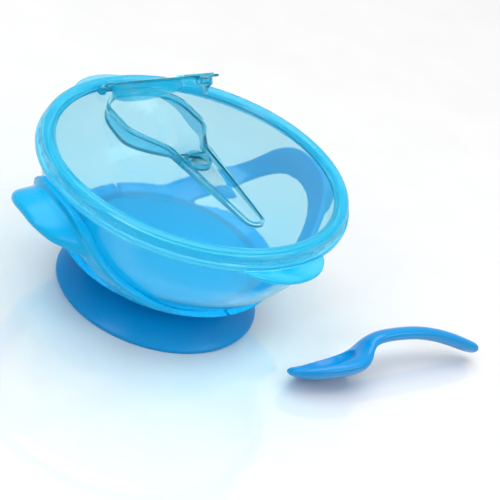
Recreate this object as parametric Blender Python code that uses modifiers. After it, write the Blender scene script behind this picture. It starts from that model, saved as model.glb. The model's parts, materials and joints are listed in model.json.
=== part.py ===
"""A toddler's suction bowl: bowl, two grips, suction base, lid with a hinged spoon cover, and a spoon.

Metres, +Z up. The origin is the bottom centre of the set's box, on the table, and the grips lie along X.
"""

import math

import bmesh
import bpy
from mathutils import Vector

MM = 0.001
STEPS = 48
GAP = 0.3

# Where the bowl's axis stands, and where the spoon's tip lies from that axis
BOWL_XY = (-23.4, 4.9)
SPOON_TIP = (18.6, -84.6)
SPOON_YAW = -4.6
SPOON_ROLL = -37.0
SPOON_LIFT = 4.71

# Bowl: its wall is a quarter ellipse from the foot out to the rim
RIM_R = 71.0
RIM_Z = 72.6
FOOT_R = 27.0
FOOT_Z = 18.5
WALL = 2.0
RIM_BEAD = 0.6
STUB_R = 15.0
STUB_Z = 10.8
STUB_FLANGE_R = 18.0
STUB_FLANGE_Z = (11.6, 13.0)

# Suction base
CUP_R = 49.4
CUP_TOP_R = 26.0
CUP_ROOF_Z = 9.0
CUP_TOP = ((28.5, 15.2), (34.0, 12.6), (40.5, 9.2), (46.0, 5.2), (49.2, 2.2), (CUP_R, 0.9))
CUP_HOLLOW = ((CUP_R - 6.5, 1.6), (38.0, 4.6), (30.0, 7.4), (20.0, CUP_ROOF_Z))
CUP_LAND = (CUP_R - 4.0, CUP_R - 0.5)

# Grips: a soft skin on the bowl, cut to an arch with a window, and a wing to hold.
# The grips' line turns a little from the lid's, because the round lid goes on at any angle.
GRIP_TURN = -1.2
GRIP_SKIN = (4.8, 2.2)
GRIP_ARCH = (
    (0.0, 66.6),
    (9.0, 66.0),
    (16.0, 63.5),
    (21.0, 59.5),
    (24.5, 55.0),
    (29.5, 47.5),
    (34.5, 41.5),
    (40.5, 35.5),
    (44.0, 29.5),
    (46.0, 25.5),
    (60.0, 24.0),
    (60.0, 16.6),
)
GRIP_WINDOW = (
    (0.0, 53.5),
    (6.0, 52.9),
    (11.7, 50.8),
    (17.0, 46.8),
    (21.6, 41.8),
    (26.0, 35.5),
    (29.8, 29.0),
    (32.6, 22.6),
    (26.0, 23.8),
    (20.6, 24.8),
    (12.0, 25.7),
    (0.0, 26.0),
)
# Wing sections going out, as (reach, half width, half thickness, droop of the sides)
WING_SECTIONS = (
    (52.0, 27.0, 6.2, 13.0),
    (62.0, 26.0, 6.0, 12.0),
    (70.0, 23.5, 5.5, 9.0),
    (77.0, 20.5, 4.8, 6.5),
    (82.5, 18.0, 4.0, 4.5),
    (86.0, 14.5, 3.2, 2.6),
    (88.4, 10.5, 2.2, 1.4),
    (89.8, 6.0, 1.1, 0.5),
)
WING_Z = 58.6
WING_SIDES = 28
WING_SQUARENESS = 2.7

# Lid
PANEL_R = 66.2
PANEL_Z = 73.6
CROWN = 2.6
PANEL_THICK = 1.3
BEAD_R = 70.0
BEAD_SIZE = 3.4
FLANGE_R = 74.8
FLANGE_Z = 67.6
SKIRT_GAP = 0.5
TAB_ROOT = 64.0
TAB_REACH = 84.5
TAB_HALF = 25.0
TAB_Z = (67.0, 68.7)

# Spoon pocket in the lid: it runs along Y from the hinge, at +Y, to the groove's end
POCKET_BACK = 57.0
POCKET_FULL = (42.0, 30.0)
POCKET_NECK = 6.0
POCKET_HALF = 21.0
NECK_HALF = 9.3
LIP_Z = 77.2
LIP_WALL = 1.3
BELLY_R = 56.0
BELLY_Y = 30.0
BELLY_Z = 68.6
GROOVE_END = -49.0
GROOVE_FLOOR_Z = 73.3
GROOVE_END_HALF = 5.5
GROOVE_WALL = 1.2
GROOVE_FALL = 2.2
SOCKET_R = 6.4
SOCKET_WALL = 1.4

# Spoon cover
HINGE_Y = 61.5
HINGE_Z = 75.4
HINGE_HALF = 13.0
PIN_R = 0.8
PIN_END = 2.2
PIN_GAP = 0.35
BARREL_R = 1.2
LUG = (0.4, 3.6)
LUG_HALF = 2.0
COVER_OPEN = 34.5
COVER_CLEAR = 0.5
COVER_WALL = 1.1
COVER_LOW = 2.1
COVER_TOP = 3.3
PLUG_DROP = 6.0
TONGUE_HALF = 12.0
ARM_HALF = 4.0
ARM_Y = (-62.5, -45.0)
HOOK_R = 2.6
HOOK_EYE_R = 1.3
HOOK_AT = (-59.5, 1.5)

# Spoon sections along its length, as (place, half width, bottom, top), and the hollow of its dish
SPOON_SECTIONS = (
    (0.0, 1.6, 5.6, 7.2),
    (2.0, 4.2, 4.0, 7.9),
    (7.0, 7.6, 2.0, 8.5),
    (14.0, 10.2, 0.6, 9.0),
    (22.0, 12.0, 0.0, 9.4),
    (30.0, 12.8, 0.0, 9.8),
    (37.0, 12.2, 0.8, 11.0),
    (42.0, 10.0, 3.0, 13.2),
    (46.0, 7.4, 7.6, 16.0),
    (50.0, 5.8, 11.0, 17.8),
    (56.0, 5.4, 12.6, 19.0),
    (66.0, 5.4, 12.8, 19.2),
    (78.0, 5.5, 11.8, 18.4),
    (89.0, 5.7, 9.4, 16.2),
    (99.0, 5.8, 6.0, 13.0),
    (107.0, 5.6, 2.8, 9.6),
    (113.0, 4.6, 1.0, 6.8),
    (115.5, 2.4, 2.0, 4.8),
)
SPOON_SIDES = 16
DISH_PLACE = (20.6, 0.0, 11.3)
DISH_RADII = (18.2, 10.4, 8.2)
DISH_TILT = -2.4


def clear_scene():
    for obj in list(bpy.data.objects):
        bpy.data.objects.remove(obj, do_unlink=True)


def new_collection(name):
    collection = bpy.data.collections.new(name)
    bpy.context.scene.collection.children.link(collection)
    return collection


def material(name, color, roughness, transmission=0.0):
    mat = bpy.data.materials.new(name)
    mat.use_nodes = True
    shader = mat.node_tree.nodes["Principled BSDF"]
    shader.inputs["Base Color"].default_value = (*color, 1.0)
    shader.inputs["Roughness"].default_value = roughness
    shader.inputs["Metallic"].default_value = 0.0
    shader.inputs["Transmission Weight"].default_value = transmission
    return mat


def add_object(name, mesh, collection, parent=None, mat=None):
    obj = bpy.data.objects.new(name, mesh)
    collection.objects.link(obj)
    obj.parent = parent
    if mat:
        obj.data.materials.append(mat)
    return obj


def add_empty(name, place, parent=None):
    empty = bpy.data.objects.new(name, None)
    parts.objects.link(empty)
    empty.location = Vector(place) * MM
    empty.parent = parent
    return empty


def as_cutter(obj):
    obj.hide_render = True
    obj.display_type = "WIRE"
    return obj


def boolean(obj, other, operation):
    mod = obj.modifiers.new(f"{operation.title()} {other.name}", "BOOLEAN")
    mod.operation = operation
    mod.solver = "EXACT"
    mod.object = other


def turned(name, profile, collection, parent=None, mat=None):
    """A profile of (radius, height) points, from the axis back to the axis, turned about Z."""
    mesh = bpy.data.meshes.new(name)
    points = [(r * MM, 0.0, z * MM) for r, z in profile]
    mesh.from_pydata(points, [(i, i + 1) for i in range(len(points) - 1)], [])
    obj = add_object(name, mesh, collection, parent, mat)
    screw = obj.modifiers.new("Turn", "SCREW")
    screw.steps = STEPS
    screw.render_steps = STEPS
    screw.use_merge_vertices = True
    screw.merge_threshold = 0.00001
    screw.use_smooth_shade = False
    return obj


def arc(center, radii, start, end, count):
    """Points along an ellipse's arc, angles in degrees from +X."""
    turns = [math.radians(start + (end - start) * i / (count - 1)) for i in range(count)]
    return [(center[0] + radii[0] * math.cos(a), center[1] + radii[1] * math.sin(a)) for a in turns]


def extruded(name, outline, bottom, top, collection, parent=None):
    """A flat XY outline, counter-clockwise, made a solid from height bottom to height top."""
    bm = bmesh.new()
    low = [bm.verts.new((x * MM, y * MM, bottom * MM)) for x, y in outline]
    face = bm.faces.new(low)
    grown = bmesh.ops.extrude_face_region(bm, geom=[face])
    raised = [v for v in grown["geom"] if isinstance(v, bmesh.types.BMVert)]
    bmesh.ops.translate(bm, verts=raised, vec=(0.0, 0.0, (top - bottom) * MM))
    bmesh.ops.recalc_face_normals(bm, faces=bm.faces)
    mesh = bpy.data.meshes.new(name)
    bm.to_mesh(mesh)
    bm.free()
    return add_object(name, mesh, collection, parent)


def lofted(name, rings, collection, parent=None, mat=None):
    """Rings of points in mm, all with the same count, joined side by side and capped."""
    bm = bmesh.new()
    loops = [[bm.verts.new(Vector(p) * MM) for p in ring] for ring in rings]
    count = len(rings[0])
    for one, two in zip(loops, loops[1:]):
        for i in range(count):
            j = (i + 1) % count
            bm.faces.new((one[i], one[j], two[j], two[i]))
    bm.faces.new(loops[0])
    bm.faces.new(loops[-1])
    bmesh.ops.recalc_face_normals(bm, faces=bm.faces)
    mesh = bpy.data.meshes.new(name)
    bm.to_mesh(mesh)
    bm.free()
    return add_object(name, mesh, collection, parent, mat)


def box(name, low, high, collection, parent=None):
    corners = [(low[0], low[1]), (high[0], low[1]), (high[0], high[1]), (low[0], high[1])]
    return extruded(name, corners, low[2], high[2], collection, parent)


def rod(name, radius, low_x, high_x, place, collection, parent=None, sides=16):
    """A round bar along X, through the point (y, z)."""
    bm = bmesh.new()
    size = {"radius1": radius * MM, "radius2": radius * MM, "depth": (high_x - low_x) * MM}
    bmesh.ops.create_cone(bm, cap_ends=True, segments=sides, **size)
    mesh = bpy.data.meshes.new(name)
    bm.to_mesh(mesh)
    bm.free()
    obj = add_object(name, mesh, collection, parent)
    obj.rotation_euler = (0.0, math.pi / 2, 0.0)
    obj.location = Vector(((low_x + high_x) / 2, place[0], place[1])) * MM
    return obj


def bowl_outside(extra=0.0):
    """The bowl's outer wall from the rim down to the foot, moved out by extra."""
    reach = RIM_R - FOOT_R + extra
    drop = RIM_Z - FOOT_Z + extra
    return arc((FOOT_R, RIM_Z), (reach, drop), 0, -90, 15)


def make_bowl(mat, parent):
    inner = arc((FOOT_R, RIM_Z), (RIM_R - FOOT_R - WALL, RIM_Z - FOOT_Z - WALL), -90, 0, 13)
    outer = bowl_outside()
    profile = [(0.0, FOOT_Z + WALL)] + inner
    profile += [(RIM_R - WALL + 0.5, RIM_Z + 0.5), (RIM_R, RIM_Z + 0.5), (RIM_R + RIM_BEAD, RIM_Z - 0.3)]
    profile += [(RIM_R + RIM_BEAD, RIM_Z - 1.6), (RIM_R - 0.1, RIM_Z - 2.6)]
    profile += outer[2:]
    low, high = STUB_FLANGE_Z
    profile += [(STUB_R + 1.0, FOOT_Z), (STUB_R, FOOT_Z - 1.0), (STUB_R, high + 1.0)]
    profile += [(STUB_FLANGE_R, high), (STUB_FLANGE_R, low), (STUB_R, STUB_Z), (0.0, STUB_Z)]
    return turned("bowl_shell", profile, parts, parent, mat)


def make_bowl_room(parent):
    """What the grips are cut by: the bowl with a small gap round it, and the base's neck."""
    top, bottom = RIM_Z + 20.0, STUB_Z - 1.0
    edge = RIM_R + RIM_BEAD + 1.0
    profile = [(0.0, top), (edge, top), (edge, RIM_Z - 6.0)] + bowl_outside(GAP)[2:]
    profile += [(FOOT_R + 2 * GAP, bottom), (0.0, bottom)]
    return as_cutter(turned("bowl_room", profile, cutters, parent))


def make_suction_base(mat, parent):
    """A cup that holds to the table, with a socket in its neck for the flange on the bowl's stub."""
    low, high = STUB_FLANGE_Z
    floor = STUB_Z - 0.4
    room = STUB_FLANGE_R + GAP
    profile = [(0.0, floor), (STUB_R + 0.2, floor), (room, low - 0.2), (room, high + 0.2)]
    profile += [(STUB_R + GAP, high + 1.4), (STUB_R + GAP, FOOT_Z - 1.0), (STUB_R + 1.6, FOOT_Z - GAP)]
    profile += [(CUP_TOP_R - 1.5, FOOT_Z - GAP), (CUP_TOP_R, FOOT_Z - 1.2), *CUP_TOP]
    profile += [(CUP_LAND[1], 0.0), (CUP_LAND[0], 0.0), *CUP_HOLLOW, (0.0, CUP_ROOF_Z)]
    return turned("suction_base", profile, parts, parent, mat)


def sideways(name, half_outline, low_x, high_x, parent):
    """Half an outline of (y, z) points, from the middle round to its lower end, mirrored and extruded along X."""
    rest = [(-y, z) for y, z in reversed(half_outline) if y > 0.0]
    block = extruded(name, list(half_outline) + rest, low_x, high_x, cutters, parent)
    block.rotation_euler = (math.pi / 2, 0.0, math.pi / 2)
    return as_cutter(block)


def wing_ring(section, side):
    """A rounded bar across the wing at one reach, bent down towards its sides."""
    reach, half, thick, droop = section
    power = 2.0 / WING_SQUARENESS
    ring = []
    for i in range(WING_SIDES):
        along, up = math.cos(math.tau * i / WING_SIDES), math.sin(math.tau * i / WING_SIDES)
        share = math.copysign(abs(along) ** power, along)
        z = WING_Z - droop * share * share + thick * math.copysign(abs(up) ** power, up)
        ring.append((side * reach, side * half * share, z))
    return ring


def make_grip(name, side, bowl_room, mat, parent):
    """A wing to hold, on an arch of soft skin whose legs run down the bowl to its foot."""
    outer = arc((FOOT_R, RIM_Z), (RIM_R - FOOT_R + GRIP_SKIN[0], RIM_Z - FOOT_Z + GRIP_SKIN[1]), 0, -90, 15)
    skin = [(0.0, RIM_Z), *outer, (0.0, FOOT_Z - GRIP_SKIN[1])]
    grip = turned(name, skin, parts, parent, mat)
    near, far = sorted((side * GAP, side * 2 * RIM_R))
    boolean(grip, sideways(f"{name}_arch", GRIP_ARCH, near, far, parent), "INTERSECT")
    wing = lofted(f"{name}_wing", [wing_ring(part, side) for part in WING_SECTIONS], cutters, parent)
    boolean(grip, as_cutter(wing), "UNION")
    boolean(grip, sideways(f"{name}_window", GRIP_WINDOW, near, far, parent), "DIFFERENCE")
    boolean(grip, bowl_room, "DIFFERENCE")
    return grip


def panel(rise, out=True):
    """The crowned panel's section, from the axis out or from its edge in."""
    shares = (0.0, 0.3, 0.55, 0.8, 1.0)
    points = [(PANEL_R * share, PANEL_Z + rise + CROWN * (1 - share * share)) for share in shares]
    return points if out else points[::-1]


def lid_profile():
    """The lid's section: panel, bead, skirt with its flange, and the channel that the rim sits in."""
    bead_z = PANEL_Z - 0.6
    top = panel(0.0) + arc((BEAD_R, bead_z), (BEAD_SIZE, BEAD_SIZE), 155, 0, 8)
    top += [(BEAD_R + BEAD_SIZE, FLANGE_Z + 3.0), (FLANGE_R - 0.2, FLANGE_Z + 2.4)]
    top += [(FLANGE_R, FLANGE_Z + 1.2), (FLANGE_R - 0.3, FLANGE_Z), (BEAD_R + 3.0, FLANGE_Z)]
    skirt_r = RIM_R + RIM_BEAD + SKIRT_GAP
    half = (WALL + RIM_BEAD + 2 * SKIRT_GAP) / 2
    inner = skirt_r - 2 * half
    inside = [(skirt_r, FLANGE_Z + 0.7), (skirt_r, bead_z)]
    inside += arc((skirt_r - half, bead_z + 0.5), (half, 1.2), 0, 180, 6)
    inside += [(inner, bead_z - 2.2), (inner - 0.9, bead_z - 2.6)]
    return top + inside + panel(-PANEL_THICK, out=False)


def pocket_outline(grow=0.0):
    """The spoon pocket from above: a rounded back, full sides, and shoulders that run in to the neck."""
    half = POCKET_HALF + grow
    neck = NECK_HALF + grow
    widest, shoulder = POCKET_FULL
    left = []
    for i in range(6):
        share = i / 5
        width = neck + (half - neck) * (1 + math.cos(math.pi * share)) / 2
        left.append((-width, shoulder - (shoulder - POCKET_NECK + grow) * share))
    right = [(-x, y) for x, y in reversed(left)]
    return arc((0.0, widest), (half, POCKET_BACK - widest + grow), 0, 180, 13) + left + right


def groove_outline(grow=0.0):
    """The handle groove from above, which tapers to a round end."""
    wide, narrow = NECK_HALF + grow, GROOVE_END_HALF + grow
    end = arc((0.0, GROOVE_END + GROOVE_END_HALF), (narrow, narrow), 180, 360, 9)
    inside = POCKET_NECK + 5.0
    return end + [(wide, POCKET_NECK), (wide, inside), (-wide, inside), (-wide, POCKET_NECK)]


def belly(name, radius, parent):
    """A wide drum along X, whose underside rounds the pocket's floor."""
    width = 2 * POCKET_HALF
    place = (BELLY_Y, BELLY_Z + BELLY_R)
    return as_cutter(rod(name, radius, -width, width, place, cutters, parent, sides=96))


def make_pocket(parent):
    """Gives the pocket's walls, to add to the lid, and its hollow, to cut from it."""
    low, high = BELLY_Z - 8.0, LIP_Z + 12.0
    walls = as_cutter(extruded("pocket_walls", pocket_outline(LIP_WALL), low, LIP_Z, cutters, parent))
    boolean(walls, belly("belly_outside", BELLY_R + LIP_WALL, parent), "INTERSECT")
    hollow = as_cutter(extruded("pocket_hollow", pocket_outline(), low, high, cutters, parent))
    boolean(hollow, belly("belly_inside", BELLY_R, parent), "INTERSECT")
    return walls, hollow


def make_groove(parent):
    """Gives the groove's walls, whose tops run down to the panel at the groove's end, and its hollow."""
    bottom = GROOVE_FLOOR_Z - GROOVE_WALL
    walls = extruded("groove_walls", groove_outline(GROOVE_WALL), bottom, LIP_Z, cutters, parent)
    slope = box("groove_slope", (-20.0, -75.0, 0.0), (20.0, 0.0, 12.0), cutters, parent)
    slope.location = Vector((0.0, POCKET_NECK, LIP_Z)) * MM
    slope.rotation_euler = (math.radians(GROOVE_FALL), 0.0, 0.0)
    boolean(as_cutter(walls), as_cutter(slope), "DIFFERENCE")
    hollow = extruded("groove_hollow", groove_outline(), GROOVE_FLOOR_Z, LIP_Z + 12.0, cutters, parent)
    return walls, as_cutter(hollow)


def add_tabs(lid, parent):
    """Two crescent tabs, front and rear, that lift the lid."""
    within = FLANGE_R - 0.4
    low = TAB_Z[0] - 7.0
    block = [(0.0, LIP_Z), (within, LIP_Z), (within, low), (0.0, low)]
    core = as_cutter(turned("lid_core", block, cutters, parent))
    for side, name in ((-1, "tab_front"), (1, "tab_rear")):
        outline = arc((0.0, side * TAB_ROOT), (TAB_HALF, TAB_REACH - TAB_ROOT), 0, 345, 24)
        tab = as_cutter(extruded(name, outline, TAB_Z[0], TAB_Z[1], cutters, parent))
        boolean(tab, core, "DIFFERENCE")
        boolean(lid, tab, "UNION")


def add_lugs(lid, parent):
    """Two lugs that carry the cover's pins."""
    reach = HINGE_HALF + PIN_END + 0.4
    place = (HINGE_Y, HINGE_Z)
    bore = as_cutter(rod("pin_bores", PIN_R + PIN_GAP, -reach, reach, place, cutters, parent))
    for side, name in ((-1, "lug_left"), (1, "lug_right")):
        ends = sorted(side * (HINGE_HALF + x) for x in LUG)
        low = (ends[0], HINGE_Y - LUG_HALF, PANEL_Z - 0.6)
        high = (ends[1], HINGE_Y + LUG_HALF, HINGE_Z + LUG_HALF)
        lug = as_cutter(box(name, low, high, cutters, parent))
        boolean(lug, bore, "DIFFERENCE")
        boolean(lid, lug, "UNION")


def socket_profile():
    """The round socket in the neck that the cover's hook drops into."""
    low, floor, top = GROOVE_FLOOR_Z - 0.6, GROOVE_FLOOR_Z + 0.4, LIP_Z - 1.0
    inner = SOCKET_R - SOCKET_WALL
    profile = [(0.0, floor), (inner, floor), (inner, top), (SOCKET_R - 0.5, top), (SOCKET_R, top - 0.5)]
    return profile + [(SOCKET_R, low), (0.0, low)]


def make_lid(mat, parent):
    lid = turned("lid", lid_profile(), parts, parent, mat)
    pocket_walls, pocket_hollow = make_pocket(parent)
    groove_walls, groove_hollow = make_groove(parent)
    boolean(lid, pocket_walls, "UNION")
    boolean(lid, groove_walls, "UNION")
    boolean(lid, pocket_hollow, "DIFFERENCE")
    boolean(lid, groove_hollow, "DIFFERENCE")
    add_tabs(lid, parent)
    boolean(lid, as_cutter(turned("hook_socket", socket_profile(), cutters, parent)), "UNION")
    add_lugs(lid, parent)
    return lid


def cover_outline(grow):
    """The pocket's outline seen from the hinge."""
    return [(x, y - HINGE_Y) for x, y in pocket_outline(grow)]


def make_plug(parent):
    """A thin ring under the cover that fits inside the pocket and follows its floor."""
    outside = cover_outline(-COVER_CLEAR)
    inside = cover_outline(-COVER_CLEAR - COVER_WALL)
    plug = extruded("cover_plug", outside, -PLUG_DROP, COVER_LOW + 0.4, cutters, parent)
    core = extruded("plug_core", inside, -PLUG_DROP - 14.0, COVER_LOW, cutters, parent)
    boolean(as_cutter(plug), as_cutter(core), "DIFFERENCE")
    place = (BELLY_Y - HINGE_Y, BELLY_Z + BELLY_R - HINGE_Z)
    width = 2 * POCKET_HALF
    room = rod("plug_room", BELLY_R - 0.6, -width, width, place, cutters, parent, sides=96)
    boolean(plug, as_cutter(room), "INTERSECT")
    return plug


def make_hook(parent):
    """The small ring under the arm that snaps into the lid's socket."""
    y, z = HOOK_AT
    hook = rod("cover_hook", HOOK_R, -2.4, 2.4, HOOK_AT, cutters, parent)
    eye = rod("cover_eye", HOOK_EYE_R, -6.0, 6.0, (y, z - 0.3), cutters, parent, sides=12)
    boolean(as_cutter(hook), as_cutter(eye), "DIFFERENCE")
    return hook


def make_cover(mat, parent):
    """The cover is modelled closed, with its hinge at the origin, and its parent turns it open."""
    outline = cover_outline(LIP_WALL + COVER_CLEAR)
    cover = extruded("spoon_cover", outline, COVER_LOW, COVER_TOP, parts, parent)
    cover.data.materials.append(mat)
    wide, arm, top = TONGUE_HALF, ARM_HALF, COVER_TOP
    pin_end = HINGE_HALF + PIN_END
    added = (
        make_plug(parent),
        box("cover_tongue", (-wide, -6.0, top - 1.1), (wide, 1.0, top - 0.3), cutters, parent),
        box("cover_web", (-wide, -0.6, 0.0), (wide, 0.6, top - 0.6), cutters, parent),
        box("cover_arm", (-arm, ARM_Y[0], top - 0.7), (arm, ARM_Y[1], top + 0.8), cutters, parent),
        make_hook(parent),
        rod("cover_barrel", BARREL_R, -HINGE_HALF, HINGE_HALF, (0.0, 0.0), cutters, parent),
        rod("cover_pins", PIN_R, -pin_end, pin_end, (0.0, 0.0), cutters, parent, sides=12),
    )
    for piece in added:
        boolean(cover, as_cutter(piece), "UNION")
    return cover


def spoon_ring(section):
    place, half, low, high = section
    mid, rise = (low + high) / 2, (high - low) / 2
    turns = [math.tau * i / SPOON_SIDES for i in range(SPOON_SIDES)]
    return [(place, half * math.cos(a), mid + rise * math.sin(a)) for a in turns]


def make_dish(parent):
    """The rounded hollow that is scooped from the spoon's head."""
    bm = bmesh.new()
    bmesh.ops.create_uvsphere(bm, u_segments=26, v_segments=14, radius=1.0)
    bmesh.ops.scale(bm, verts=bm.verts, vec=Vector(DISH_RADII) * MM)
    mesh = bpy.data.meshes.new("spoon_dish")
    bm.to_mesh(mesh)
    bm.free()
    dish = as_cutter(add_object("spoon_dish", mesh, cutters, parent))
    dish.location = Vector(DISH_PLACE) * MM
    dish.rotation_euler = (0.0, math.radians(DISH_TILT), 0.0)
    return dish


def make_spoon(mat, parent):
    spoon = lofted("spoon", [spoon_ring(section) for section in SPOON_SECTIONS], parts, parent, mat)
    boolean(spoon, make_dish(parent), "DIFFERENCE")
    return spoon


clear_scene()
parts = new_collection("suction_bowl")
cutters = new_collection("cutters")

wall_plastic = material("bowl_plastic", (0.0, 0.45, 0.85), 0.12, 0.6)
grip_rubber = material("grip_rubber", (0.0, 0.27, 0.72), 0.25)
base_rubber = material("base_rubber", (0.0, 0.17, 0.6), 0.3)
lid_plastic = material("lid_plastic", (0.35, 0.83, 0.92), 0.08, 0.85)
spoon_plastic = material("spoon_plastic", (0.0, 0.27, 0.72), 0.2)

bowl_axis = add_empty("bowl_axis", (*BOWL_XY, 0.0))
make_bowl(wall_plastic, bowl_axis)
make_suction_base(base_rubber, bowl_axis)
bowl_room = make_bowl_room(bowl_axis)
grip_axis = add_empty("grip_axis", (0.0, 0.0, 0.0), bowl_axis)
grip_axis.rotation_euler = (0.0, 0.0, math.radians(GRIP_TURN))
make_grip("left_grip", -1, bowl_room, grip_rubber, grip_axis)
make_grip("right_grip", 1, bowl_room, grip_rubber, grip_axis)
make_lid(lid_plastic, bowl_axis)
hinge = add_empty("cover_hinge", (0.0, HINGE_Y, HINGE_Z), bowl_axis)
hinge.rotation_euler = (math.radians(-COVER_OPEN), 0.0, 0.0)
make_cover(lid_plastic, hinge)
spoon_at = (BOWL_XY[0] + SPOON_TIP[0], BOWL_XY[1] + SPOON_TIP[1], SPOON_LIFT)
spoon_place = add_empty("spoon_place", spoon_at)
spoon_place.rotation_euler = (math.radians(SPOON_ROLL), 0.0, math.radians(SPOON_YAW))
make_spoon(spoon_plastic, spoon_place)
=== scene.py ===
"""The looks of the toddler's suction bowl: fine meshes, plastics and rubber, camera, light and floor.

Metres, +Z up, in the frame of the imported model. Lengths in the tables are in mm.
"""

import json
import math

import bmesh
import bpy
from mathutils import Matrix, Vector

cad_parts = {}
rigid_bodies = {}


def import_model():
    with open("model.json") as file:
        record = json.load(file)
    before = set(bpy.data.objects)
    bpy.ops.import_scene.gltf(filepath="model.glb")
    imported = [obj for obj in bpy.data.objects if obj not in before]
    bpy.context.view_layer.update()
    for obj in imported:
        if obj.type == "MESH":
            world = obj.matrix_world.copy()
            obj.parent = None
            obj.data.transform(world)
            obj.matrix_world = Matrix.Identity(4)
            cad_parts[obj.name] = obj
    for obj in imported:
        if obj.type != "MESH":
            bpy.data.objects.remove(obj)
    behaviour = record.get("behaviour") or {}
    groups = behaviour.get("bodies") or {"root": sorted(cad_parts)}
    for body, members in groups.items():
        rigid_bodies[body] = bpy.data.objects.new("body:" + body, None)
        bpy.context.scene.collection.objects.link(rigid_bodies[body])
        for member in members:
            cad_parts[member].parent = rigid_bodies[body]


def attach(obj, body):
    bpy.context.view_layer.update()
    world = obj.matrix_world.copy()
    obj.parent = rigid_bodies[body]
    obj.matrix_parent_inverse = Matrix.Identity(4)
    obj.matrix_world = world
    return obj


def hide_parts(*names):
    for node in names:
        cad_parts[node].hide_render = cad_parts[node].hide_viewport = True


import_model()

MM = 0.001
STEPS = 192
GAP = 0.3

# Where the bowl's axis stands, and where the spoon's tip lies from that axis
BOWL_XY = (-23.4, 4.9)
SPOON_TIP = (18.6, -84.6)
SPOON_YAW = -4.6
SPOON_ROLL = -37.0
SPOON_LIFT = 4.71

# Bowl: its wall is a quarter ellipse from the foot out to the rim
RIM_R = 71.0
RIM_Z = 72.6
FOOT_R = 27.0
FOOT_Z = 18.5
WALL = 2.0
RIM_BEAD = 0.6
STUB_R = 15.0
STUB_Z = 10.8
STUB_FLANGE_R = 18.0
STUB_FLANGE_Z = (11.6, 13.0)

# Suction base
CUP_R = 49.4
CUP_TOP_R = 26.0
CUP_ROOF_Z = 9.0
CUP_TOP = ((28.5, 15.2), (34.0, 12.6), (40.5, 9.2), (46.0, 5.2), (49.2, 2.2), (CUP_R, 0.9))
CUP_HOLLOW = ((CUP_R - 6.5, 1.6), (38.0, 4.6), (30.0, 7.4), (20.0, CUP_ROOF_Z))
CUP_LAND = (CUP_R - 4.0, CUP_R - 0.5)

# Grips: a soft skin on the bowl, cut to an arch with a window, and a wing to hold.
# The grips' line turns a little from the lid's, because the round lid goes on at any angle.
GRIP_TURN = -1.2
GRIP_SKIN = (4.8, 2.2)
GRIP_ARCH = (
    (0.0, 66.6),
    (9.0, 66.0),
    (16.0, 63.5),
    (21.0, 59.5),
    (24.5, 55.0),
    (29.5, 47.5),
    (34.5, 41.5),
    (40.5, 35.5),
    (44.0, 29.5),
    (46.0, 25.5),
    (60.0, 24.0),
    (60.0, 16.6),
)
GRIP_WINDOW = (
    (0.0, 53.5),
    (6.0, 52.9),
    (11.7, 50.8),
    (17.0, 46.8),
    (21.6, 41.8),
    (26.0, 35.5),
    (29.8, 29.0),
    (32.6, 22.6),
    (26.0, 23.8),
    (20.6, 24.8),
    (12.0, 25.7),
    (0.0, 26.0),
)
# Wing sections going out, as (reach, half width, half thickness, droop of the sides)
WING_SECTIONS = (
    (52.0, 27.0, 6.2, 13.0),
    (62.0, 26.0, 6.0, 12.0),
    (70.0, 23.5, 5.5, 9.0),
    (77.0, 20.5, 4.8, 6.5),
    (82.5, 18.0, 4.0, 4.5),
    (86.0, 14.5, 3.2, 2.6),
    (88.4, 10.5, 2.2, 1.4),
    (89.8, 6.0, 1.1, 0.5),
)
WING_Z = 58.6
WING_SIDES = 64
WING_SQUARENESS = 2.7

# Lid
PANEL_R = 66.2
PANEL_Z = 73.6
CROWN = 2.6
PANEL_THICK = 1.3
BEAD_R = 70.0
BEAD_SIZE = 3.4
FLANGE_R = 74.8
FLANGE_Z = 67.6
SKIRT_GAP = 0.5
TAB_ROOT = 64.0
TAB_REACH = 84.5
TAB_HALF = 25.0
TAB_Z = (67.0, 68.7)

RIB_COUNT = 48
RIB_R = 73.3
RIB_WIDE = 1.1
RIB_DEEP = 0.9

# Spoon pocket in the lid: it runs along Y from the hinge, at +Y, to the groove's end
POCKET_BACK = 57.0
POCKET_FULL = (42.0, 30.0)
POCKET_NECK = 6.0
POCKET_HALF = 21.0
NECK_HALF = 9.3
LIP_Z = 77.2
LIP_WALL = 1.3
BELLY_R = 56.0
BELLY_Y = 30.0
BELLY_Z = 68.6
GROOVE_END = -49.0
GROOVE_FLOOR_Z = 73.3
GROOVE_END_HALF = 4.2
GROOVE_WALL = 1.2
GROOVE_FALL = 2.2
SOCKET_R = 6.4
SOCKET_WALL = 1.1

# Spoon cover
HINGE_Y = 61.5
HINGE_Z = 75.4
HINGE_HALF = 13.0
PIN_R = 0.8
PIN_END = 2.2
PIN_GAP = 0.35
BARREL_R = 1.2
LUG = (0.4, 3.6)
LUG_HALF = 2.0
COVER_OPEN = 34.5
COVER_CLEAR = 0.5
COVER_WALL = 1.1
COVER_LOW = 2.1
COVER_TOP = 3.3
PLUG_DROP = 6.0
TONGUE_HALF = 12.0
ARM_HALF = 4.0
ARM_Y = (-62.5, -45.0)
HOOK_R = 2.6
HOOK_EYE_R = 1.3
HOOK_AT = (-59.5, 1.5)

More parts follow.
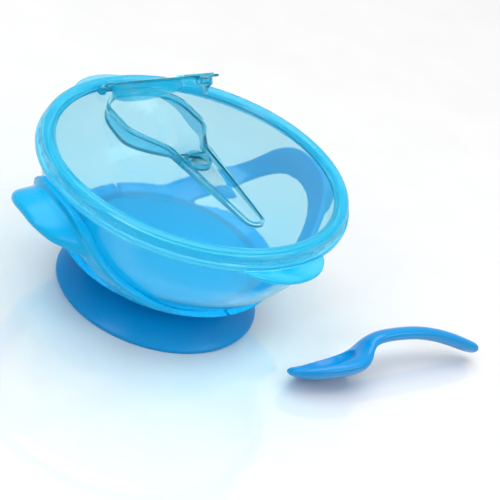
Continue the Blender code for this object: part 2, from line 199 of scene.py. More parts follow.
# Spoon sections along its length, as (place, half width, bottom, top), and the hollow of its dish
SPOON_SECTIONS = (
    (0.0, 1.6, 5.6, 7.2),
    (2.0, 4.2, 4.0, 7.9),
    (7.0, 7.6, 2.0, 8.5),
    (14.0, 10.2, 0.6, 9.0),
    (22.0, 12.0, 0.0, 9.4),
    (30.0, 12.8, 0.0, 9.8),
    (37.0, 12.2, 0.8, 11.0),
    (42.0, 10.0, 3.0, 13.2),
    (46.0, 7.4, 7.6, 16.0),
    (50.0, 5.8, 11.0, 17.8),
    (56.0, 5.4, 12.6, 19.0),
    (66.0, 5.4, 12.8, 19.2),
    (78.0, 5.5, 11.8, 18.4),
    (89.0, 5.7, 9.4, 16.2),
    (99.0, 5.8, 6.0, 13.0),
    (107.0, 5.6, 2.8, 9.6),
    (113.0, 4.6, 1.0, 6.8),
    (115.5, 2.4, 2.0, 4.8),
)
SPOON_SIDES = 48
DISH_PLACE = (20.6, 0.0, 11.3)
DISH_RADII = (18.2, 10.4, 8.2)
DISH_TILT = -2.4

# The soft pieces are rebuilt as small squares and relaxed, which rounds their edges as moulding does
GRIP_GRID = 0.75
SPOON_GRID = 0.55
RELAX_TIMES = 7

# Steps from one point of a section list or an outline to the next, points down the bowl's wall, and how
# many of those the rim's bead covers
SECTION_STEPS = 5
OUTLINE_STEPS = 4
WALL_POINTS = 43
UNDER_BEAD = 6

# Edges of solids that are steeper than ROUND_ANGLE degrees get these radii
ROUND_ANGLE = 50
ROUND_SEGMENTS = 3
TAB_EDGE = 0.6
LIP_EDGE = 0.5
LUG_EDGE = 0.7
COVER_EDGE = 0.45

# Edges that turn by more than these degrees are shaded as sharp
TURNED_SHARP = 40
SOFT_SHARP = 80
LID_SHARP = 35

# Where a piece takes its second material: below a height, beyond a radius, or where a face is steep
COLLAR_Z = 23.6
BEAD_INSIDE = 66.4
STEEP_LID = 0.75
STEEP_COVER = 0.6

# Camera: it looks from this side, height and roll, in degrees, at a point on the bowl's axis that lies
# TARGET_Z metres up and CAMERA_AWAY metres off, and aims a little beside it
CAMERA_TURN = 44.0
CAMERA_HEIGHT = 32.0
CAMERA_ROLL = 18.2
CAMERA_AWAY = 0.8
CAMERA_LENS = 122.5
TARGET_Z = 0.04
AIM_RIGHT = 0.0424
AIM_UP = -0.0168

# Studio: an even white world over a glossy floor, FLOOR_HALF metres from its middle to each side
WORLD_STRENGTH = 0.54
FLOOR_HALF = 4.0
FLOOR_IOR = 2.5


def add_object(name, mesh, collection, parent=None, mat=None):
    obj = bpy.data.objects.new(name, mesh)
    collection.objects.link(obj)
    obj.parent = parent
    if mat:
        obj.data.materials.append(mat)
    return obj


def add_empty(name, place, parent=None):
    empty = bpy.data.objects.new(name, None)
    parts.objects.link(empty)
    empty.location = Vector(place) * MM
    empty.parent = parent
    return empty


def as_cutter(obj):
    obj.hide_render = True
    obj.display_type = "WIRE"
    return obj


def boolean(obj, other, operation):
    mod = obj.modifiers.new(f"{operation.title()} {other.name}", "BOOLEAN")
    mod.operation = operation
    mod.solver = "EXACT"
    mod.object = other


def turned(name, profile, collection, parent=None, mat=None):
    """A profile of (radius, height) points, from the axis back to the axis, turned about Z."""
    mesh = bpy.data.meshes.new(name)
    points = [(r * MM, 0.0, z * MM) for r, z in profile]
    mesh.from_pydata(points, [(i, i + 1) for i in range(len(points) - 1)], [])
    obj = add_object(name, mesh, collection, parent, mat)
    screw = obj.modifiers.new("Turn", "SCREW")
    screw.steps = STEPS
    screw.render_steps = STEPS
    screw.use_merge_vertices = True
    screw.merge_threshold = 0.00001
    screw.use_smooth_shade = False
    return obj


def arc(center, radii, start, end, count):
    """Points along an ellipse's arc, angles in degrees from +X."""
    turns = [math.radians(start + (end - start) * i / (count - 1)) for i in range(count)]
    return [(center[0] + radii[0] * math.cos(a), center[1] + radii[1] * math.sin(a)) for a in turns]


def spline(points, count):
    """The same points with count - 1 more between each two, along a smooth curve."""
    ends = [points[0], *points, points[-1]]
    out = []
    for a, b, c, d in zip(ends, ends[1:], ends[2:], ends[3:]):
        for i in range(count):
            t = i / count
            out.append(tuple(catmull(p, q, r, s, t) for p, q, r, s in zip(a, b, c, d)))
    return [*out, tuple(points[-1])]


def catmull(p, q, r, s, t):
    """One number of a Catmull-Rom curve between q and r."""
    return q + t * (r - p) / 2 + t * t * (p - 2.5 * q + 2 * r - s / 2) + t**3 * (1.5 * (q - r) + (s - p) / 2)


def rounded(obj, width):
    """Rounds the sharp edges of a solid before it is joined or cut."""
    mod = obj.modifiers.new("Round", "BEVEL")
    mod.width = width * MM
    mod.segments = ROUND_SEGMENTS
    mod.limit_method = "ANGLE"
    mod.angle_limit = math.radians(ROUND_ANGLE)


def extruded(name, outline, bottom, top, collection, parent=None):
    """A flat XY outline, counter-clockwise, made a solid from height bottom to height top."""
    bm = bmesh.new()
    low = [bm.verts.new((x * MM, y * MM, bottom * MM)) for x, y in outline]
    face = bm.faces.new(low)
    grown = bmesh.ops.extrude_face_region(bm, geom=[face])
    raised = [v for v in grown["geom"] if isinstance(v, bmesh.types.BMVert)]
    bmesh.ops.translate(bm, verts=raised, vec=(0.0, 0.0, (top - bottom) * MM))
    bmesh.ops.recalc_face_normals(bm, faces=bm.faces)
    mesh = bpy.data.meshes.new(name)
    bm.to_mesh(mesh)
    bm.free()
    return add_object(name, mesh, collection, parent)


def lofted(name, rings, collection, parent=None, mat=None):
    """Rings of points in mm, all with the same count, joined side by side and capped."""
    bm = bmesh.new()
    loops = [[bm.verts.new(Vector(p) * MM) for p in ring] for ring in rings]
    count = len(rings[0])
    for one, two in zip(loops, loops[1:]):
        for i in range(count):
            j = (i + 1) % count
            bm.faces.new((one[i], one[j], two[j], two[i]))
    bm.faces.new(loops[0])
    bm.faces.new(loops[-1])
    bmesh.ops.recalc_face_normals(bm, faces=bm.faces)
    mesh = bpy.data.meshes.new(name)
    bm.to_mesh(mesh)
    bm.free()
    return add_object(name, mesh, collection, parent, mat)


def box(name, low, high, collection, parent=None):
    corners = [(low[0], low[1]), (high[0], low[1]), (high[0], high[1]), (low[0], high[1])]
    return extruded(name, corners, low[2], high[2], collection, parent)


def rod(name, radius, low_x, high_x, place, collection, parent=None, sides=32):
    """A round bar along X, through the point (y, z)."""
    bm = bmesh.new()
    size = {"radius1": radius * MM, "radius2": radius * MM, "depth": (high_x - low_x) * MM}
    bmesh.ops.create_cone(bm, cap_ends=True, segments=sides, **size)
    mesh = bpy.data.meshes.new(name)
    bm.to_mesh(mesh)
    bm.free()
    obj = add_object(name, mesh, collection, parent)
    obj.rotation_euler = (0.0, math.pi / 2, 0.0)
    obj.location = Vector(((low_x + high_x) / 2, place[0], place[1])) * MM
    return obj


def bowl_outside(extra=0.0):
    """The bowl's outer wall from the rim down to the foot, moved out by extra."""
    reach = RIM_R - FOOT_R + extra
    drop = RIM_Z - FOOT_Z + extra
    return arc((FOOT_R, RIM_Z), (reach, drop), 0, -90, WALL_POINTS)


def make_bowl(mat, parent):
    """The bowl's wall with its rim bead, and the flanged stub that the suction base grips."""
    inner = arc((FOOT_R, RIM_Z), (RIM_R - FOOT_R - WALL, RIM_Z - FOOT_Z - WALL), -90, 0, 40)
    outer = bowl_outside()
    profile = [(0.0, FOOT_Z + WALL)] + inner
    profile += [(RIM_R - WALL + 0.5, RIM_Z + 0.5), (RIM_R, RIM_Z + 0.5), (RIM_R + RIM_BEAD, RIM_Z - 0.3)]
    profile += [(RIM_R + RIM_BEAD, RIM_Z - 1.6), (RIM_R - 0.1, RIM_Z - 2.6)]
    profile += outer[UNDER_BEAD:]
    low, high = STUB_FLANGE_Z
    profile += [(STUB_R + 1.0, FOOT_Z), (STUB_R, FOOT_Z - 1.0), (STUB_R, high + 1.0)]
    profile += [(STUB_FLANGE_R, high), (STUB_FLANGE_R, low), (STUB_R, STUB_Z), (0.0, STUB_Z)]
    return turned("bowl_wall", profile, parts, parent, mat)


def make_bowl_room(parent):
    """What the grips are cut by: the bowl with a small gap round it, and the base's neck."""
    top, bottom = RIM_Z + 20.0, STUB_Z - 1.0
    edge = RIM_R + RIM_BEAD + 1.0
    profile = [(0.0, top), (edge, top), (edge, RIM_Z - 6.0)] + bowl_outside(GAP)[UNDER_BEAD:]
    profile += [(FOOT_R + 2 * GAP, bottom), (0.0, bottom)]
    return as_cutter(turned("bowl_room", profile, cutters, parent))


def make_suction_base(mat, parent):
    """A cup that holds to the table, with a socket in its neck for the flange on the bowl's stub."""
    low, high = STUB_FLANGE_Z
    floor = STUB_Z - 0.4
    room = STUB_FLANGE_R + GAP
    profile = [(0.0, floor), (STUB_R + 0.2, floor), (room, low - 0.2), (room, high + 0.2)]
    profile += [(STUB_R + GAP, high + 1.4), (STUB_R + GAP, FOOT_Z - 1.0), (STUB_R + 1.6, FOOT_Z - GAP)]
    profile += [(CUP_TOP_R - 1.5, FOOT_Z - GAP), (CUP_TOP_R, FOOT_Z - 1.2), *spline(CUP_TOP, SECTION_STEPS)]
    profile += [(CUP_LAND[1], 0.0), (CUP_LAND[0], 0.0), *spline(CUP_HOLLOW, SECTION_STEPS), (0.0, CUP_ROOF_Z)]
    return turned("suction_cup", profile, parts, parent, mat)


def sideways(name, half_outline, low_x, high_x, parent):
    """Half an outline of (y, z) points, from the middle round to its end, mirrored and extruded along X."""
    half_outline = spline(half_outline, OUTLINE_STEPS)
    rest = [(-y, z) for y, z in reversed(half_outline) if y > 0.0]
    block = extruded(name, half_outline + rest, low_x, high_x, cutters, parent)
    block.rotation_euler = (math.pi / 2, 0.0, math.pi / 2)
    return as_cutter(block)


def wing_ring(section, side):
    """A rounded bar across the wing at one reach, bent down towards its sides."""
    reach, half, thick, droop = section
    power = 2.0 / WING_SQUARENESS
    ring = []
    for i in range(WING_SIDES):
        along, up = math.cos(math.tau * i / WING_SIDES), math.sin(math.tau * i / WING_SIDES)
        share = math.copysign(abs(along) ** power, along)
        z = WING_Z - droop * share * share + thick * math.copysign(abs(up) ** power, up)
        ring.append((side * reach, side * half * share, z))
    return ring


def make_grip(name, side, bowl_room, mat, parent):
    """A wing to hold, on an arch of soft skin whose legs run down the bowl to its foot."""
    radii = (RIM_R - FOOT_R + GRIP_SKIN[0], RIM_Z - FOOT_Z + GRIP_SKIN[1])
    outer = arc((FOOT_R, RIM_Z), radii, 0, -90, WALL_POINTS)
    skin = [(0.0, RIM_Z), *outer, (0.0, FOOT_Z - GRIP_SKIN[1])]
    grip = turned(f"{name}_rubber", skin, parts, parent, mat)
    near, far = sorted((side * GAP, side * 2 * RIM_R))
    boolean(grip, sideways(f"{name}_arch", GRIP_ARCH, near, far, parent), "INTERSECT")
    rings = [wing_ring(section, side) for section in spline(WING_SECTIONS, SECTION_STEPS)]
    wing = lofted(f"{name}_wing", rings, cutters, parent)
    boolean(grip, as_cutter(wing), "UNION")
    boolean(grip, sideways(f"{name}_window", GRIP_WINDOW, near, far, parent), "DIFFERENCE")
    boolean(grip, bowl_room, "DIFFERENCE")
    return grip


def panel(rise, out=True):
    """The crowned panel's section, from the axis out or from its edge in."""
    shares = (0.0, 0.3, 0.55, 0.8, 1.0)
    points = [(PANEL_R * share, PANEL_Z + rise + CROWN * (1 - share * share)) for share in shares]
    return points if out else points[::-1]


def lid_profile():
    """The lid's section: panel, bead, skirt with its flange, and the channel that the rim sits in."""
    bead_z = PANEL_Z - 0.6
    top = panel(0.0) + arc((BEAD_R, bead_z), (BEAD_SIZE, BEAD_SIZE), 155, 0, 26)
    top += [(BEAD_R + BEAD_SIZE, FLANGE_Z + 3.0), (FLANGE_R - 0.2, FLANGE_Z + 2.4)]
    top += [(FLANGE_R, FLANGE_Z + 1.2), (FLANGE_R - 0.3, FLANGE_Z), (BEAD_R + 3.0, FLANGE_Z)]
    skirt_r = RIM_R + RIM_BEAD + SKIRT_GAP
    half = (WALL + RIM_BEAD + 2 * SKIRT_GAP) / 2
    inner = skirt_r - 2 * half
    inside = [(skirt_r, FLANGE_Z + 0.7), (skirt_r, bead_z)]
    inside += arc((skirt_r - half, bead_z + 0.5), (half, 1.2), 0, 180, 14)
    inside += [(inner, bead_z - 2.2), (inner - 0.9, bead_z - 2.6)]
    return top + inside + panel(-PANEL_THICK, out=False)


def pocket_outline(grow=0.0):
    """The spoon pocket from above: a rounded back, full sides, and shoulders that run in to the neck."""
    half = POCKET_HALF + grow
    neck = NECK_HALF + grow
    widest, shoulder = POCKET_FULL
    left = []
    for i in range(18):
        share = i / 17
        width = neck + (half - neck) * (1 + math.cos(math.pi * share)) / 2
        left.append((-width, shoulder - (shoulder - POCKET_NECK + grow) * share))
    right = [(-x, y) for x, y in reversed(left)]
    return arc((0.0, widest), (half, POCKET_BACK - widest + grow), 0, 180, 37) + left + right


def groove_outline(grow=0.0):
    """The handle groove from above, which tapers to a round end."""
    wide, narrow = NECK_HALF + grow, GROOVE_END_HALF + grow
    end = arc((0.0, GROOVE_END + GROOVE_END_HALF), (narrow, narrow), 180, 360, 25)
    inside = POCKET_NECK + 5.0
    return end + [(wide, POCKET_NECK), (wide, inside), (-wide, inside), (-wide, POCKET_NECK)]


def belly(name, radius, parent):
    """A wide drum along X, whose underside rounds the pocket's floor."""
    width = 2 * POCKET_HALF
    place = (BELLY_Y, BELLY_Z + BELLY_R)
    return as_cutter(rod(name, radius, -width, width, place, cutters, parent, sides=STEPS))


def make_pocket(parent):
    """Gives the pocket's walls, to add to the lid, and its hollow, to cut from it."""
    low, high = BELLY_Z - 8.0, LIP_Z + 12.0
    walls = as_cutter(extruded("pocket_walls", pocket_outline(LIP_WALL), low, LIP_Z, cutters, parent))
    rounded(walls, LIP_EDGE)
    boolean(walls, belly("belly_outside", BELLY_R + LIP_WALL, parent), "INTERSECT")
    hollow = as_cutter(extruded("pocket_hollow", pocket_outline(), low, high, cutters, parent))
    boolean(hollow, belly("belly_inside", BELLY_R, parent), "INTERSECT")
    return walls, hollow


def make_groove(parent):
    """Gives the groove's walls, whose tops run down to the panel at the groove's end, and its hollow."""
    bottom = GROOVE_FLOOR_Z - GROOVE_WALL
    walls = extruded("groove_walls", groove_outline(GROOVE_WALL), bottom, LIP_Z, cutters, parent)
    slope = box("groove_slope", (-20.0, -75.0, 0.0), (20.0, 0.0, 12.0), cutters, parent)
    slope.location = Vector((0.0, POCKET_NECK, LIP_Z)) * MM
    slope.rotation_euler = (math.radians(GROOVE_FALL), 0.0, 0.0)
    boolean(as_cutter(walls), as_cutter(slope), "DIFFERENCE")
    hollow = extruded("groove_hollow", groove_outline(), GROOVE_FLOOR_Z, LIP_Z + 12.0, cutters, parent)
    return walls, as_cutter(hollow)


def add_tabs(lid, parent):
    """Two crescent tabs, front and rear, that lift the lid."""
    within = FLANGE_R - 0.4
    low = TAB_Z[0] - 7.0
    block = [(0.0, LIP_Z), (within, LIP_Z), (within, low), (0.0, low)]
    core = as_cutter(turned("lid_core", block, cutters, parent))
    for side, name in ((-1, "tab_front"), (1, "tab_rear")):
        outline = arc((0.0, side * TAB_ROOT), (TAB_HALF, TAB_REACH - TAB_ROOT), 0, 355, 72)
        tab = as_cutter(extruded(name, outline, TAB_Z[0], TAB_Z[1], cutters, parent))
        rounded(tab, TAB_EDGE)
        boolean(tab, core, "DIFFERENCE")
        boolean(lid, tab, "UNION")


def add_lugs(lid, parent):
    """Two lugs that carry the cover's pins."""
    reach = HINGE_HALF + PIN_END + 0.4
    place = (HINGE_Y, HINGE_Z)
    bore = as_cutter(rod("pin_bores", PIN_R + PIN_GAP, -reach, reach, place, cutters, parent))
    for side, name in ((-1, "lug_left"), (1, "lug_right")):
        ends = sorted(side * (HINGE_HALF + x) for x in LUG)
        low = (ends[0], HINGE_Y - LUG_HALF, PANEL_Z - 0.6)
        high = (ends[1], HINGE_Y + LUG_HALF, HINGE_Z + LUG_HALF)
        lug = as_cutter(box(name, low, high, cutters, parent))
        rounded(lug, LUG_EDGE)
        boolean(lug, bore, "DIFFERENCE")
        boolean(lid, lug, "UNION")


def make_ribs(parent):
    """The row of small snap ribs round the lid's skirt."""
    bm = bmesh.new()
    low, high = FLANGE_Z + 1.8, PANEL_Z - 1.0
    for i in range(RIB_COUNT):
        turn = Matrix.Rotation(math.tau * (i + 0.5) / RIB_COUNT, 4, "Z")
        place = Matrix.Translation(Vector((RIB_R, 0.0, (low + high) / 2)) * MM)
        size = Matrix.Diagonal((RIB_DEEP * MM, RIB_WIDE * MM, (high - low) * MM, 1.0))
        bmesh.ops.create_cube(bm, size=1.0, matrix=turn @ place @ size)
    mesh = bpy.data.meshes.new("snap_ribs")
    bm.to_mesh(mesh)
    bm.free()
    return add_object("snap_ribs", mesh, cutters, parent)


def socket_profile():
    """The round socket in the neck that the cover's hook drops into."""
    low, floor, top = GROOVE_FLOOR_Z - 0.6, GROOVE_FLOOR_Z + 0.4, LIP_Z - 1.0
    inner = SOCKET_R - SOCKET_WALL
    profile = [(0.0, floor), (inner, floor), (inner, top), (SOCKET_R - 0.5, top), (SOCKET_R, top - 0.5)]
    return profile + [(SOCKET_R, low), (0.0, low)]


def make_lid(mat, parent):
    """The panel, bead and skirt, with the pocket, groove, tabs, socket, lugs and snap ribs."""
    lid = turned("lid_clear", lid_profile(), parts, parent, mat)
    pocket_walls, pocket_hollow = make_pocket(parent)
    groove_walls, groove_hollow = make_groove(parent)
    boolean(lid, pocket_walls, "UNION")
    boolean(lid, groove_walls, "UNION")
    boolean(lid, pocket_hollow, "DIFFERENCE")
    boolean(lid, groove_hollow, "DIFFERENCE")
    add_tabs(lid, parent)
    boolean(lid, as_cutter(turned("hook_socket", socket_profile(), cutters, parent)), "UNION")
    add_lugs(lid, parent)
    boolean(lid, as_cutter(make_ribs(parent)), "UNION")
    return lid


def cover_outline(grow):
    """The pocket's outline seen from the hinge."""
    return [(x, y - HINGE_Y) for x, y in pocket_outline(grow)]


def make_plug(parent):
    """A thin ring under the cover that fits inside the pocket and follows its floor."""
    outside = cover_outline(-COVER_CLEAR)
    inside = cover_outline(-COVER_CLEAR - COVER_WALL)
    plug = extruded("cover_plug", outside, -PLUG_DROP, COVER_LOW + 0.4, cutters, parent)
    core = extruded("plug_core", inside, -PLUG_DROP - 14.0, COVER_LOW, cutters, parent)
    boolean(as_cutter(plug), as_cutter(core), "DIFFERENCE")
    place = (BELLY_Y - HINGE_Y, BELLY_Z + BELLY_R - HINGE_Z)
    width = 2 * POCKET_HALF
    room = rod("plug_room", BELLY_R - 0.6, -width, width, place, cutters, parent, sides=STEPS)
    boolean(plug, as_cutter(room), "INTERSECT")
    return plug


def make_hook(parent):
    """The small ring under the arm that snaps into the lid's socket."""
    y, z = HOOK_AT
    hook = rod("cover_hook", HOOK_R, -2.4, 2.4, HOOK_AT, cutters, parent)
    eye = rod("cover_eye", HOOK_EYE_R, -6.0, 6.0, (y, z - 0.3), cutters, parent, sides=24)
    boolean(as_cutter(hook), as_cutter(eye), "DIFFERENCE")
    return hook


def make_cover(mat, parent):
    """The cover is modelled closed, with its hinge at the origin, and its parent turns it open."""
    outline = cover_outline(LIP_WALL + COVER_CLEAR)
    cover = extruded("cover_clear", outline, COVER_LOW, COVER_TOP, parts, parent)
    rounded(cover, COVER_EDGE)
    cover.data.materials.append(mat)
    wide, arm, top = TONGUE_HALF, ARM_HALF, COVER_TOP
    pin_end = HINGE_HALF + PIN_END
    added = (
        make_plug(parent),
        box("cover_tongue", (-wide, -6.0, top - 1.1), (wide, 1.0, top - 0.3), cutters, parent),
        box("cover_web", (-wide, -0.6, 0.0), (wide, 0.6, top - 0.6), cutters, parent),
        box("cover_arm", (-arm, ARM_Y[0], top - 0.7), (arm, ARM_Y[1], top + 0.8), cutters, parent),
        make_hook(parent),
        rod("cover_barrel", BARREL_R, -HINGE_HALF, HINGE_HALF, (0.0, 0.0), cutters, parent),
        rod("cover_pins", PIN_R, -pin_end, pin_end, (0.0, 0.0), cutters, parent, sides=24),
    )
    for piece in added:
        boolean(cover, as_cutter(piece), "UNION")
    return cover


def spoon_ring(section):
    place, half, low, high = section
    mid, rise = (low + high) / 2, (high - low) / 2
    turns = [math.tau * i / SPOON_SIDES for i in range(SPOON_SIDES)]
    return [(place, half * math.cos(a), mid + rise * math.sin(a)) for a in turns]


def make_dish(parent):
    """The rounded hollow that is scooped from the spoon's head."""
    bm = bmesh.new()
    bmesh.ops.create_uvsphere(bm, u_segments=64, v_segments=32, radius=1.0)
    bmesh.ops.scale(bm, verts=bm.verts, vec=Vector(DISH_RADII) * MM)
    mesh = bpy.data.meshes.new("spoon_dish")
    bm.to_mesh(mesh)
    bm.free()
    dish = as_cutter(add_object("spoon_dish", mesh, cutters, parent))
    dish.location = Vector(DISH_PLACE) * MM
    dish.rotation_euler = (0.0, math.radians(DISH_TILT), 0.0)
    return dish


def make_spoon(mat, parent):
    rings = [spoon_ring(section) for section in spline(SPOON_SECTIONS, SECTION_STEPS)]
    spoon = lofted("spoon_solid", rings, parts, parent, mat)
    boolean(spoon, make_dish(parent), "DIFFERENCE")
    return spoon


def new_collection(name):
    collection = bpy.data.collections.new(name)
    bpy.context.scene.collection.children.link(collection)
    return collection


def relaxed(obj, grid):
    """Rebuilds the piece on a fine grid and smooths it, so that every edge is softly rounded."""
    remesh = obj.modifiers.new("Grid", "REMESH")
    remesh.mode = "VOXEL"
    remesh.voxel_size = grid * MM
    relax = obj.modifiers.new("Relax", "SMOOTH")
    relax.factor = 0.5
    relax.iterations = RELAX_TIMES


def settle(obj, sharp, body, node):
    """Turns the evaluated shape into the piece that is shown, parents it to its body and hides its CAD node.
    """
    bpy.context.view_layer.update()
    graph = bpy.context.evaluated_depsgraph_get()
    mesh = bpy.data.meshes.new_from_object(obj.evaluated_get(graph))
    mesh.transform(obj.matrix_world)
    mesh.shade_smooth()
    mesh.set_sharp_from_angle(angle=math.radians(sharp))
    piece = bpy.data.objects.new(obj.name + "_piece", mesh)
    shown.objects.link(piece)
    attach(piece, body)
    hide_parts(node)
    return piece


def paint(piece, mat, chosen):
    """Gives a second material to the faces that are chosen."""
    piece.data.materials.append(mat)
    for face in piece.data.polygons:
        if chosen(face):
            face.material_index = 1


def in_foot(face):
    """The bowl's foot, which the rubber collar goes round."""
    return face.center.z < COLLAR_Z * MM


def thick(face):
    """The lid's bead and skirt and the steep walls of its pocket and groove, hazier than its panel."""
    reach = (face.center.xy - Vector(BOWL_XY) * MM).length
    return reach > BEAD_INSIDE * MM or abs(face.normal.z) < STEEP_LID


def edge_on(face):
    """The cover's rims, pins and hook."""
    return abs(face.normal.z) < STEEP_COVER


def drop_helpers():
    """Removes the objects that the shown pieces were made from."""
    for collection in (parts, cutters):
        for obj in list(collection.objects):
            bpy.data.objects.remove(obj, do_unlink=True)
        bpy.data.collections.remove(collection)


def linear(color):
    """A colour given as sRGB from 0 to 255, as Blender's linear colour."""
    shares = [c / 255 for c in color]
    return tuple(c / 12.92 if c <= 0.04045 else ((c + 0.055) / 1.055) ** 2.4 for c in shares)


def noise(tree, coords, scale, detail):
    node = tree.nodes.new("ShaderNodeTexNoise")
    node.inputs["Scale"].default_value = scale
    node.inputs["Detail"].default_value = detail
    tree.links.new(coords.outputs["Object"], node.inputs["Vector"])
    return node


def spread(tree, source, low, high):
    """Maps the middle of a noise to the range from low to high."""
    node = tree.nodes.new("ShaderNodeMapRange")
    node.inputs["From Min"].default_value = 0.3
    node.inputs["From Max"].default_value = 0.7
    node.inputs["To Min"].default_value = low
    node.inputs["To Max"].default_value = high
    tree.links.new(source, node.inputs["Value"])
    return node


def finish(name, light, dark, rough, grain, depth):
    """A moulded surface: its colour and gloss drift softly, and a fine grain breaks the highlights.

    The two colours are sRGB from 0 to 255, rough is its range of roughness, grain the grain's scale and
    depth its height in mm.
    """
    mat = bpy.data.materials.new(name)
    mat.use_nodes = True
    tree = mat.node_tree
    shader = tree.nodes["Principled BSDF"]
    coords = tree.nodes.new("ShaderNodeTexCoord")
    broad = noise(tree, coords, scale=28.0, detail=3.0)
    blend = tree.nodes.new("ShaderNodeMix")
    blend.data_type = "RGBA"
    blend.inputs["A"].default_value = (*linear(light), 1.0)
    blend.inputs["B"].default_value = (*linear(dark), 1.0)
    tree.links.new(spread(tree, broad.outputs["Fac"], 0.0, 1.0).outputs["Result"], blend.inputs["Factor"])
    tree.links.new(blend.outputs["Result"], shader.inputs["Base Color"])
    patches = noise(tree, coords, scale=160.0, detail=5.0)
    gloss = spread(tree, patches.outputs["Fac"], *rough)
    tree.links.new(gloss.outputs["Result"], shader.inputs["Roughness"])
    bump = tree.nodes.new("ShaderNodeBump")
    bump.inputs["Strength"].default_value = 0.25
    bump.inputs["Distance"].default_value = depth * MM
    fine = noise(tree, coords, scale=grain, detail=4.0)
    tree.links.new(fine.outputs["Fac"], bump.inputs["Height"])
    tree.links.new(bump.outputs["Normal"], shader.inputs["Normal"])
    return mat


def clear(mat, ior, density, tint, haze, share, shade):
    """Makes the plastic see-through: its tint deepens with thickness, its skin is hazy, its shadow pale.

    density is how fast the tint deepens, haze the skin's colour and share how much of it is seen. shade
    is what the plastic lets through to its shadow.
    """
    tree = mat.node_tree
    glass, out = tree.nodes["Principled BSDF"], tree.nodes["Material Output"]
    glass.inputs["Transmission Weight"].default_value = 1.0
    glass.inputs["IOR"].default_value = ior
    body = tree.nodes.new("ShaderNodeVolumeAbsorption")
    body.inputs["Color"].default_value = (*tint, 1.0)
    body.inputs["Density"].default_value = density
    tree.links.new(body.outputs["Volume"], out.inputs["Volume"])
    skin = tree.nodes.new("ShaderNodeBsdfPrincipled")
    skin.inputs["Base Color"].default_value = (*linear(haze), 1.0)
    skin.inputs["Roughness"].default_value = 0.3
    skin.inputs["IOR"].default_value = ior
    hazy = tree.nodes.new("ShaderNodeMixShader")
    hazy.inputs["Fac"].default_value = share
    tree.links.new(glass.outputs["BSDF"], hazy.inputs[1])
    tree.links.new(skin.outputs["BSDF"], hazy.inputs[2])
    passing = tree.nodes.new("ShaderNodeBsdfTransparent")
    passing.inputs["Color"].default_value = (*linear(shade), 1.0)
    path = tree.nodes.new("ShaderNodeLightPath")
    lit = tree.nodes.new("ShaderNodeMixShader")
    tree.links.new(path.outputs["Is Shadow Ray"], lit.inputs["Fac"])
    tree.links.new(hazy.outputs["Shader"], lit.inputs[1])
    tree.links.new(passing.outputs["BSDF"], lit.inputs[2])
    tree.links.new(lit.outputs["Shader"], out.inputs["Surface"])


def rubber(mat, specular):
    """Soft silicone reflects a little less than hard plastic."""
    mat.node_tree.nodes["Principled BSDF"].inputs["Specular IOR Level"].default_value = specular


def make_bowl_plastic():
    """The bowl: clear, with a light blue haze."""
    mat = finish(
        "bowl_plastic_look",
        light=(243, 253, 255),
        dark=(236, 252, 255),
        rough=(0.04, 0.08),
        grain=1500.0,
        depth=0.02,
    )
    clear(
        mat,
        ior=1.33,
        density=60.0,
        tint=(0.0, 0.92, 0.97),
        haze=(0, 180, 224),
        share=0.14,
        shade=(216, 238, 242),
    )
    return mat


def make_collar_rubber():
    """The rubber round the bowl's foot."""
    mat = finish(
        "collar_rubber_look",
        light=(0, 150, 194),
        dark=(0, 142, 188),
        rough=(0.3, 0.4),
        grain=2200.0,
        depth=0.03,
    )
    rubber(mat, specular=0.1)
    return mat


def make_lid_plastic():
    """The lid's and the cover's panels: almost without haze."""
    mat = finish(
        "lid_plastic_look",
        light=(248, 255, 255),
        dark=(243, 254, 255),
        rough=(0.02, 0.05),
        grain=1500.0,
        depth=0.015,
    )
    clear(
        mat,
        ior=1.32,
        density=80.0,
        tint=(0.0, 0.95, 0.98),
        haze=(0, 200, 235),
        share=0.02,
        shade=(222, 242, 248),
    )
    return mat


def make_bead_plastic():
    """The thick parts of the lid and the cover: clear, with a strong light blue haze."""
    mat = finish(
        "lid_bead_look",
        light=(236, 253, 255),
        dark=(228, 252, 255),
        rough=(0.03, 0.06),
        grain=1500.0,
        depth=0.015,
    )
    clear(
        mat,
        ior=1.36,
        density=150.0,
        tint=(0.0, 0.94, 0.98),
        haze=(0, 196, 234),
        share=0.38,
        shade=(222, 242, 248),
    )
    return mat


def make_grip_rubber():
    """The two grips: bright blue silicone."""
    mat = finish(
        "grip_rubber_look",
        light=(0, 170, 222),
        dark=(0, 158, 214),
        rough=(0.2, 0.3),
        grain=2200.0,
        depth=0.03,
    )
    rubber(mat, specular=0.25)
    return mat


def make_base_rubber():
    """The suction base: duller, deeper blue silicone."""
    mat = finish(
        "base_rubber_look",
        light=(0, 148, 212),
        dark=(0, 138, 203),
        rough=(0.26, 0.38),
        grain=2200.0,
        depth=0.03,
    )
    rubber(mat, specular=0.2)
    return mat


def make_spoon_plastic():
    """The spoon: soft plastic with more gloss than the rubber."""
    mat = finish(
        "spoon_plastic_look",
        light=(0, 146, 212),
        dark=(0, 138, 205),
        rough=(0.14, 0.2),
        grain=1800.0,
        depth=0.02,
    )
    rubber(mat, specular=0.35)
    return mat


def make_floor_gloss():
    """The floor: light grey and polished, so that it mirrors the pieces."""
    mat = finish(
        "floor_gloss",
        light=(236, 236, 236),
        dark=(233, 233, 233),
        rough=(0.03, 0.05),
        grain=900.0,
        depth=0.002,
    )
    mat.node_tree.nodes["Principled BSDF"].inputs["IOR"].default_value = FLOOR_IOR
    return mat


